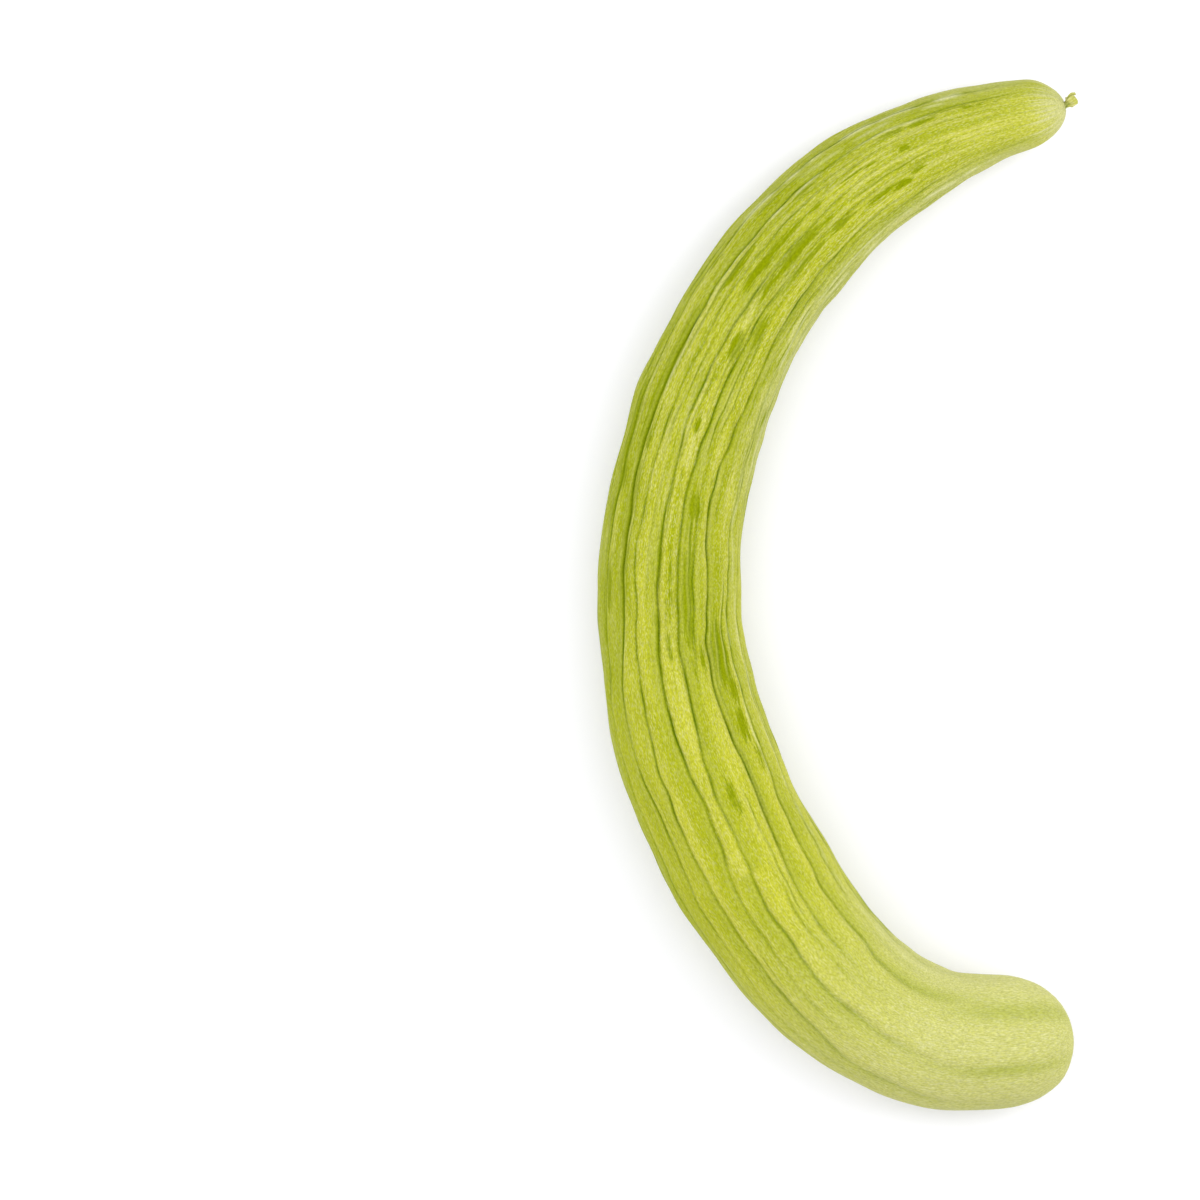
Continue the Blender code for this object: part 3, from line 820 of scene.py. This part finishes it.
def ground(n, fibre, along):
    """The ground colour: wide patches of two greens, with painted light making the inner side paler and
    painted shade making the outer flank and its rim a deeper green.
    """
    wide = n.noise(fibre, (46, 5, 5), detail=4, shift=3.1)
    yellow = n.math("MULTIPLY_ADD", n.step(along, 230, 330), 0.3, n.step(wide, 0.32, 0.68))
    yellow = n.math("MULTIPLY_ADD", n.step(along, 110, 50), -0.25, yellow)
    colour = n.mix(yellow, LEAF_GREEN, YELLOW_GREEN)
    side = n.value("side")
    # Painted light: the inner side paler, as if lit from that side, with a painted sheen of the down.
    inner_light_stretch = n.math("MAXIMUM", n.within(along, 30, 55, 185, 215), n.step(along, 360, 400))
    inner_light_share = n.math("MULTIPLY_ADD", inner_light_stretch, 0.53, 0.12)
    colour = n.cover(colour, PAINTED_SIDE_LIGHT, n.step(side, -0.6, -1.0), inner_light_share)
    # Painted shade: the outer flank and its rim a deeper green, as if turned away from the light.
    outer_side_shade = n.math("MULTIPLY", n.step(side, 0.5, 0.95), n.within(along, 40, 90, 260, 340))
    colour = n.cover(colour, DEEP_GREEN_AND_PAINTED_SHADE, outer_side_shade, 0.25)
    outer_rim_shade = n.math("MULTIPLY", n.step(side, 0.88, 1.0), n.within(along, 125, 160, 370, 410))
    colour = n.cover(colour, DEEP_GREEN_AND_PAINTED_SHADE, outer_rim_shade, 0.45)
    return n.cover(colour, BELLY_PALE, n.step(n.value("turn"), 0.2, -0.7), 0.75)


def streaked(n, fibre, along, streaks, colour):
    """Long fine streaks of pale and of deep green, strongest on the narrow half."""
    fine = n.noise(fibre, (20, 0.8, 0.8), detail=2, roughness=0.6, shift=33.0)
    both = n.math("MULTIPLY_ADD", n.math("SUBTRACT", fine, 0.5), 0.8, streaks)
    narrow_half = n.within(along, 4, 24, 190, 280)
    pale_share = n.math("MULTIPLY_ADD", narrow_half, 0.35, 0.3)
    colour = n.cover(colour, PALE_GREEN_AND_HIGHLIGHT, n.step(both, 0.52, 0.66), pale_share)
    green_share = n.math("MULTIPLY_ADD", narrow_half, 0.55, 0.15)
    return n.cover(colour, STREAK_GREEN, n.step(both, 0.5, 0.34), green_share)


def ends_coloured(n, along, streaks, colour):
    """The pale stalk end, painted sheen greying the sides near the tip, and the tip's pale ring with its
    ragged edge.
    """
    colour = n.cover(colour, PALE_GREEN_AND_HIGHLIGHT, n.step(along, 80, 15), 0.2)
    colour = n.cover(colour, END_PALE, stalk_end(n, along), 0.85)
    # Painted sheen: the down greys the sides near the tip.
    tip_side_sheen = n.math("MULTIPLY", n.step(n.value("turn"), 0.85, 0.4), n.within(along, 8, 20, 25, 75))
    colour = n.cover(colour, PAINTED_SIDE_LIGHT, tip_side_sheen, 0.4)
    tip_edge = n.math("MULTIPLY_ADD", n.math("SUBTRACT", streaks, 0.5), 40, along)
    return n.mix(n.step(tip_edge, 14, 2), colour, TIP_PALE)


def stalk_end(n, along):
    """How near the stalk end a place is, from 0 to 1."""
    return n.step(along, 345, 445)


def speckled(n, grown, along, colour):
    """Fine grain of the down, paler and darker, with larger pale dashes towards the stalk end."""
    end = stalk_end(n, along)
    grain = n.noise(grown, (1.4, 0.38, 0.38), detail=1, roughness=0.6, shift=21.0)
    amount = n.math("MULTIPLY_ADD", n.step(along, 10, 90), 0.35, 0.65)
    amount = n.math("MULTIPLY_ADD", n.step(along, 270, 320), -0.2, amount)
    colour = n.cover(colour, FLECK_PALE_AND_HIGHLIGHT, n.step(grain, 0.5, 0.66), n.math("MULTIPLY", amount, 0.4))
    green_share = n.math("MULTIPLY", n.math("MULTIPLY_ADD", end, -0.25, 0.4), amount)
    colour = n.cover(colour, GRAIN_GREEN, n.step(grain, 0.5, 0.3), green_share)
    dashes = n.noise(grown, (2.8, 0.45, 0.45), detail=2, roughness=0.6, shift=61.0)
    return n.cover(colour, FLECK_PALE_AND_HIGHLIGHT, n.step(dashes, 0.5, 0.64), n.math("MULTIPLY", end, 0.5))


def blotch_share(n, grown, along):
    """Where the deep green lies: over the placed blotches and in small flecks of the narrow half."""
    ragged = n.noise(grown, (7, 0.6, 0.6), detail=4, roughness=0.7, shift=5.5)
    place = n.math("ADD", n.value("blotch"), n.math("MULTIPLY_ADD", ragged, 2.0, -1.0))
    flecks = n.noise(grown, (14, 1.8, 1.8), detail=3, roughness=0.6, shift=51.0)
    small = n.math("MULTIPLY", n.step(flecks, 0.58, 0.68), n.step(along, 300, 200))
    small = n.math("MULTIPLY", small, n.step(along, 20, 60))
    return n.math("MAXIMUM", n.step(place, 0.22, 0.7), n.math("MULTIPLY", small, 0.5))


def furrowed(n, grown, along, colour):
    """Furrows with painted shade on their slopes and painted highlights on their lips, the raised crests
    painted pale as highlights, and the fine grooves. The dark lines are partly painted shade.
    """
    # Painted shade on the slope beside each furrow.
    valley_shade_share = n.math("MULTIPLY_ADD", stalk_end(n, along), -0.4, 0.6)
    colour = n.cover(colour, DEEP_GREEN_AND_PAINTED_SHADE, n.value("valley"), valley_shade_share)
    # Painted highlight on the raised lips.
    colour = n.cover(colour, PALE_GREEN_AND_HIGHLIGHT, n.value("lip"), 0.55)
    # Painted highlight along the crests; the same pale serves the down's flecks.
    colour = n.cover(colour, FLECK_PALE_AND_HIGHLIGHT, n.value("crest"), 0.9)
    # Dark lines of the grooves and furrows: the skin's own deep green, partly painted shade.
    colour = n.cover(colour, FURROW_GREEN_AND_PAINTED_SHADE, n.value("groove"), 0.8)
    uneven = n.math("MULTIPLY_ADD", n.noise(grown, (11, 4, 4), shift=41.0), 1.8, -0.15)
    return n.cover(colour, FURROW_GREEN_AND_PAINTED_SHADE, n.value("furrow"), uneven)


def skin_colour(n, grown, fibre, along):
    """All that colours the skin, from the ground and its pale down to the dark lines, with painted light and
    shade among them.
    """
    streaks = n.noise(fibre, (36, 1.6, 1.6), detail=3, roughness=0.6, shift=8.2)
    colour = streaked(n, fibre, along, streaks, ground(n, fibre, along))
    colour = speckled(n, grown, along, ends_coloured(n, along, streaks, colour))
    # Broad bands of deeper green, with painted shade on the outer flank.
    colour = n.cover(colour, DEEP_GREEN_AND_PAINTED_SHADE, n.value("bands_and_painted_shade"), 0.6)
    colour = n.mix(blotch_share(n, grown, along), colour, BLOTCH_GREEN)
    colour = furrowed(n, grown, along, colour)
    fine = n.noise(grown, (0.9, 0.5, 0.5), detail=1, shift=71.0)
    return n.mix(1.0, colour, n.math("MULTIPLY_ADD", fine, 0.7, 0.65), "MULTIPLY")


def skin_material():
    n = Nodes("melon_skin")
    grown, fibre, along = n.vector("grown"), n.vector("fibre"), n.value("along")
    folds = n.noise(fibre, (24, 1.2, 1.2), detail=3, roughness=0.6, shift=14.0)
    folds = n.math("MULTIPLY", folds, n.math("MULTIPLY_ADD", n.step(along, 260, 140), 0.7, 0.3))
    down = n.noise(grown, (1.3, 0.45, 0.45), detail=2, shift=30.0)
    normal = n.bump(down, 0.00008, normal=n.bump(folds, 0.0002))
    pores = n.noise(grown, (2.5, 1.2, 1.2), detail=2, shift=17.0)
    n.set(
        Base_Color=skin_colour(n, grown, fibre, along),
        Roughness=n.math("MULTIPLY_ADD", pores, 0.2, 0.5),
        Normal=normal,
        Specular_IOR_Level=0.02,
        Sheen_Weight=0.05,
        Sheen_Roughness=0.3,
        Sheen_Tint=(0.95, 1.0, 0.86, 1.0),
        Subsurface_Weight=0.1,
        Subsurface_Radius=(1.0, 0.9, 0.35),
        Subsurface_Scale=0.002,
    )
    return n.material


def flower_material():
    n = Nodes("withered_petal")
    place = n.vector("grown")
    veins = n.noise(place, (0.35, 2.6, 0.35), detail=2, shift=1.0)
    colour = n.mix(n.step(veins, 0.35, 0.65), seen(200, 203, 80), seen(232, 229, 146))
    stains = n.noise(place, (1.1, 1.1, 1.1), detail=3, shift=6.0)
    colour = n.cover(colour, seen(172, 152, 66), n.step(stains, 0.58, 0.72), 0.5)
    n.set(Base_Color=colour, Roughness=0.75, Normal=n.bump(veins, 0.00008), Sheen_Weight=0.2)
    return n.material


def neck_material():
    n = Nodes("flower_neck")
    place = n.vector("grown")
    ribs = n.noise(place, (0.4, 0.4, 2.0), detail=2, shift=2.0)
    colour = n.mix(n.step(ribs, 0.35, 0.65), seen(112, 130, 20), seen(198, 202, 92))
    n.set(Base_Color=colour, Roughness=0.6, Normal=n.bump(ribs, 0.00008))
    return n.material


def stalk_material():
    n = Nodes("stalk")
    place = n.vector("grown")
    fibres = n.noise(place, (0.5, 0.5, 4.0), detail=3, shift=2.0)
    side = n.mix(n.step(fibres, 0.3, 0.7), seen(150, 160, 70), seen(190, 196, 112))
    rays = n.noise(place, (0.5, 0.5, 0.5), detail=3, shift=9.0)
    cut = n.mix(n.step(rays, 0.35, 0.65), seen(206, 206, 142), seen(176, 172, 96))
    cut = n.mix(n.value("rim"), cut, seen(128, 134, 52))
    colour = n.mix(n.value("cut"), side, cut)
    height = n.math("ADD", fibres, rays)
    n.set(Base_Color=colour, Roughness=0.65, Normal=n.bump(height, 0.0001), Sheen_Weight=0.2)
    return n.material


def frame_at(point, direction, shift):
    """A matrix whose +Z runs along a direction from a point given in millimetres."""
    turn = Vector(direction).to_track_quat("Z", "Y").to_matrix().to_4x4()
    return Matrix.Translation(Vector(point * MM + shift)) @ turn


def make_stalk(line, shift, material):
    """The ribbed stub of the stalk: flared foot, fibrous sides and a slightly askew, dished cut."""
    tilt = math.tan(math.radians(STALK_CUT_TILT))
    turns = np.arange(STALK_SIDES) * 2 * math.pi / STALK_SIDES
    rings, cut, rim = [], [], []
    rows = [(height, share, 0.0) for height, share in STALK_PROFILE]
    for share in STALK_CUT_RINGS:
        dish = STALK_CUT_DISH * (STALK_CUT_EDGE - share) ** 0.5
        rows.append((STALK_LENGTH - dish, share, 1.0))
    for height, share, on_cut in rows:
        fibre = np.array([noise.noise((5 * math.cos(t), 5 * math.sin(t), height / 6)) for t in turns])
        rib = STALK_RIB_DEPTH * min(1.0, max(height, 0)) * np.cos(STALK_RIBS * turns)
        radius = STALK_RADIUS * share * (1 + rib + STALK_ROUGHNESS * fibre)
        skew = tilt * radius * np.cos(turns) * max(height, 0) / STALK_LENGTH
        level = height + skew + STALK_RING_WAVE * fibre
        rings.append(np.stack([radius * np.cos(turns), radius * np.sin(turns), level], axis=1))
        cut.append(np.full(STALK_SIDES, on_cut))
        rim.append(np.full(STALK_SIDES, 1.0 if on_cut and share > STALK_RIM else 0.0))
    rings = np.array(rings)
    vertices, faces = close_rings(rings, rings[0].mean(axis=0), rings[-1].mean(axis=0))
    mesh = bpy.data.meshes.new("stalk_stub_look")
    mesh.from_pydata((vertices * MM).tolist(), [], faces)
    add_values(mesh, "cut", np.concatenate([np.ravel(cut), [0.0, 1.0]]))
    add_values(mesh, "rim", np.concatenate([np.ravel(rim), [0.0, 0.0]]))
    add_vectors(mesh, "grown", vertices)
    point, direction, _, _ = line.at(LENGTH - STALK_SEAT_DEPTH)
    mesh.transform(frame_at(point + direction * FOOT_RISE, direction, shift))
    mesh.materials.append(material)
    mesh.shade_smooth()
    mesh.set_sharp_from_angle(angle=math.radians(STALK_SHARP_ANGLE))
    finish_piece("stalk_stub_look", mesh, "stalk_stub")


def petal_grid(number, turn, lean, length, width):
    """Points of one withered petal: bent back, folded along its rib, twisted and crumpled at its edges."""
    point = np.array(PETAL_ROOT)
    rows = []
    for i in range(PETAL_ROWS):
        t = i / (PETAL_ROWS - 1)
        bend = math.radians(lean * (1.5 - 1.3 * t) + PETAL_SWAY * math.sin(5 * t + number))
        along = np.array((math.sin(bend), 0, math.cos(bend)))
        face = np.array((math.cos(bend), 0, -math.sin(bend)))
        half = width / 2 * (0.35 + 0.85 * t - 0.8 * t**6)
        twist = math.radians(PETAL_TWIST) * t * (1 if number % 2 else -1)
        row = []
        for j in range(PETAL_COLUMNS):
            side = 2 * j / (PETAL_COLUMNS - 1) - 1
            crumple = noise.noise((number * 5.1 + side * 1.6, t * 4.2, 0.4))
            crumple = crumple * PETAL_CRUMPLE * (0.3 + abs(side))
            ripple = PETAL_RIPPLE * math.sin(side * 9 + number) * (0.3 + 0.7 * t)
            out = PETAL_FOLD * half * abs(side) ** 1.5 + crumple + ripple
            sideways = side * half
            outward = out * math.cos(twist) - sideways * math.sin(twist)
            across = out * math.sin(twist) + sideways * math.cos(twist)
            row.append(point + face * outward + np.array((0, across, 0)))
        rows.append(row)
        point = point + along * length / PETAL_ROWS
    cosine, sine = math.cos(math.radians(turn)), math.sin(math.radians(turn))
    spin = np.array(((cosine, sine, 0), (-sine, cosine, 0), (0, 0, 1)))
    return np.array(rows) @ spin


def flower_frames(line, shift):
    """Where the flower's foot stands, and the bend of everything above the foot, in millimetres."""
    point, direction, _, _ = line.at(FLOWER_SEAT_DEPTH)
    place = frame_at(point - direction * FOOT_RISE, -direction, shift)
    upright = place.to_3x3().inverted() @ Vector((0, 0, 1))
    foot = Matrix.Translation(Vector((0, 0, FLOWER_FOOT)))
    bend = foot @ Matrix.Rotation(math.radians(FLOWER_TURN), 4, upright) @ foot.inverted()
    return place, bend


def make_petals(line, shift, material):
    """The withered petals, as thin crumpled blades in one piece."""
    place, bend = flower_frames(line, shift)
    vertices, faces, grown = [], [], []
    places = [(i, j) for i in range(PETAL_ROWS) for j in range(PETAL_COLUMNS)]
    apart, across, along = PETAL_PATTERN
    for number, petal in enumerate(PETALS):
        grid = petal_grid(number, *petal)
        start = len(vertices)
        vertices += [bend @ Vector(p) for p in grid.reshape(-1, 3).tolist()]
        grown += [(number * apart + j * across, i * along, 0) for i, j in places]
        for i in range(PETAL_ROWS - 1):
            for j in range(PETAL_COLUMNS - 1):
                a = start + i * PETAL_COLUMNS + j
                faces.append((a, a + 1, a + 1 + PETAL_COLUMNS, a + PETAL_COLUMNS))
    mesh = bpy.data.meshes.new("flower_petals")
    mesh.from_pydata([p * MM for p in vertices], [], faces)
    add_vectors(mesh, "grown", grown)
    mesh.transform(place)
    mesh.materials.append(material)
    mesh.shade_smooth()
    obj = finish_piece("flower_petals", mesh, "dried_flower")
    thick = obj.modifiers.new("thick", "SOLIDIFY")
    thick.thickness = PETAL_THICKNESS * MM
    thick.offset = 0.0


def make_neck(line, shift, material):
    """The flower's short neck: a dark waist, and a fuller ribbed part that the petals stand on."""
    place, bend = flower_frames(line, shift)
    turns = np.arange(NECK_SIDES) * 2 * math.pi / NECK_SIDES
    rings = []
    for height, share in NECK_PROFILE:
        rib = NECK_RIB_DEPTH * np.cos(NECK_RIBS * turns) * min(1.0, max(0.0, height))
        radius = FLOWER_NECK * share * (1 + rib)
        level = np.full(NECK_SIDES, height)
        row = np.stack([radius * np.cos(turns), radius * np.sin(turns), level], axis=1)
        if height > FLOWER_FOOT:
            row = np.array([bend @ Vector(p) for p in row.tolist()])
        rings.append(row)
    rings = np.array(rings)
    vertices, faces = close_rings(rings, rings[0].mean(axis=0), rings[-1].mean(axis=0))
    mesh = bpy.data.meshes.new("flower_neck")
    mesh.from_pydata((vertices * MM).tolist(), [], faces)
    add_vectors(mesh, "grown", vertices)
    mesh.transform(place)
    mesh.materials.append(material)
    mesh.shade_smooth()
    finish_piece("flower_neck", mesh, None)


def frame_shift(skin):
    """How far the line's own place is from the frame's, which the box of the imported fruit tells."""
    low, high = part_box("fruit")
    middle = (skin.places.min(axis=(0, 1)) + skin.places.max(axis=(0, 1))) / 2 * MM
    found = (np.array(low) + np.array(high)) / 2 - middle
    found[2] = 0.0
    return found


def area_light(name, place, size, power, colour):
    data = bpy.data.lights.new(name, "AREA")
    data.shape = "RECTANGLE"
    data.size, data.size_y = size
    data.energy = power
    data.color = colour
    light = bpy.data.objects.new(name, data)
    light.location = place
    light.rotation_euler = (Vector(LIGHT_TARGET) - Vector(place)).to_track_quat("-Z", "Y").to_euler()
    light.visible_camera = False
    bpy.context.scene.collection.objects.link(light)


def make_floor():
    bm = bmesh.new()
    bmesh.ops.create_grid(bm, x_segments=2, y_segments=2, size=FLOOR_SIZE)
    mesh = bpy.data.meshes.new("table")
    bm.to_mesh(mesh)
    bm.free()
    n = Nodes("table")
    n.set(Base_Color=FLOOR_COLOUR, Roughness=0.8, Specular_IOR_Level=0.1)
    mesh.materials.append(n.material)
    floor = bpy.data.objects.new("table", mesh)
    bpy.context.scene.collection.objects.link(floor)


def make_light():
    world = bpy.data.worlds.new("studio")
    world.use_nodes = True
    background = world.node_tree.nodes["Background"]
    background.inputs["Color"].default_value = (1.0, 1.0, 1.0, 1.0)
    background.inputs["Strength"].default_value = WORLD_STRENGTH
    bpy.context.scene.world = world
    for light in LIGHTS:
        area_light(*light)


def make_camera():
    data = bpy.data.cameras.new("camera")
    data.lens = CAMERA_LENS
    data.sensor_width = SENSOR
    camera = bpy.data.objects.new("camera", data)
    away = FRAME_WIDTH * CAMERA_LENS / SENSOR
    camera.location = Vector(FRAME_MIDDLE) + Vector((0, 0, away))
    bpy.context.scene.collection.objects.link(camera)
    bpy.context.scene.camera = camera


def main():
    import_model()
    bpy.context.scene.view_settings.view_transform = "Standard"
    line = Line()
    skin = Skin(line)
    shift = frame_shift(skin)
    make_fruit(skin, line, shift, skin_material())
    make_stalk(line, shift, stalk_material())
    make_petals(line, shift, flower_material())
    make_neck(line, shift, neck_material())
    make_floor()
    make_light()
    make_camera()


main()
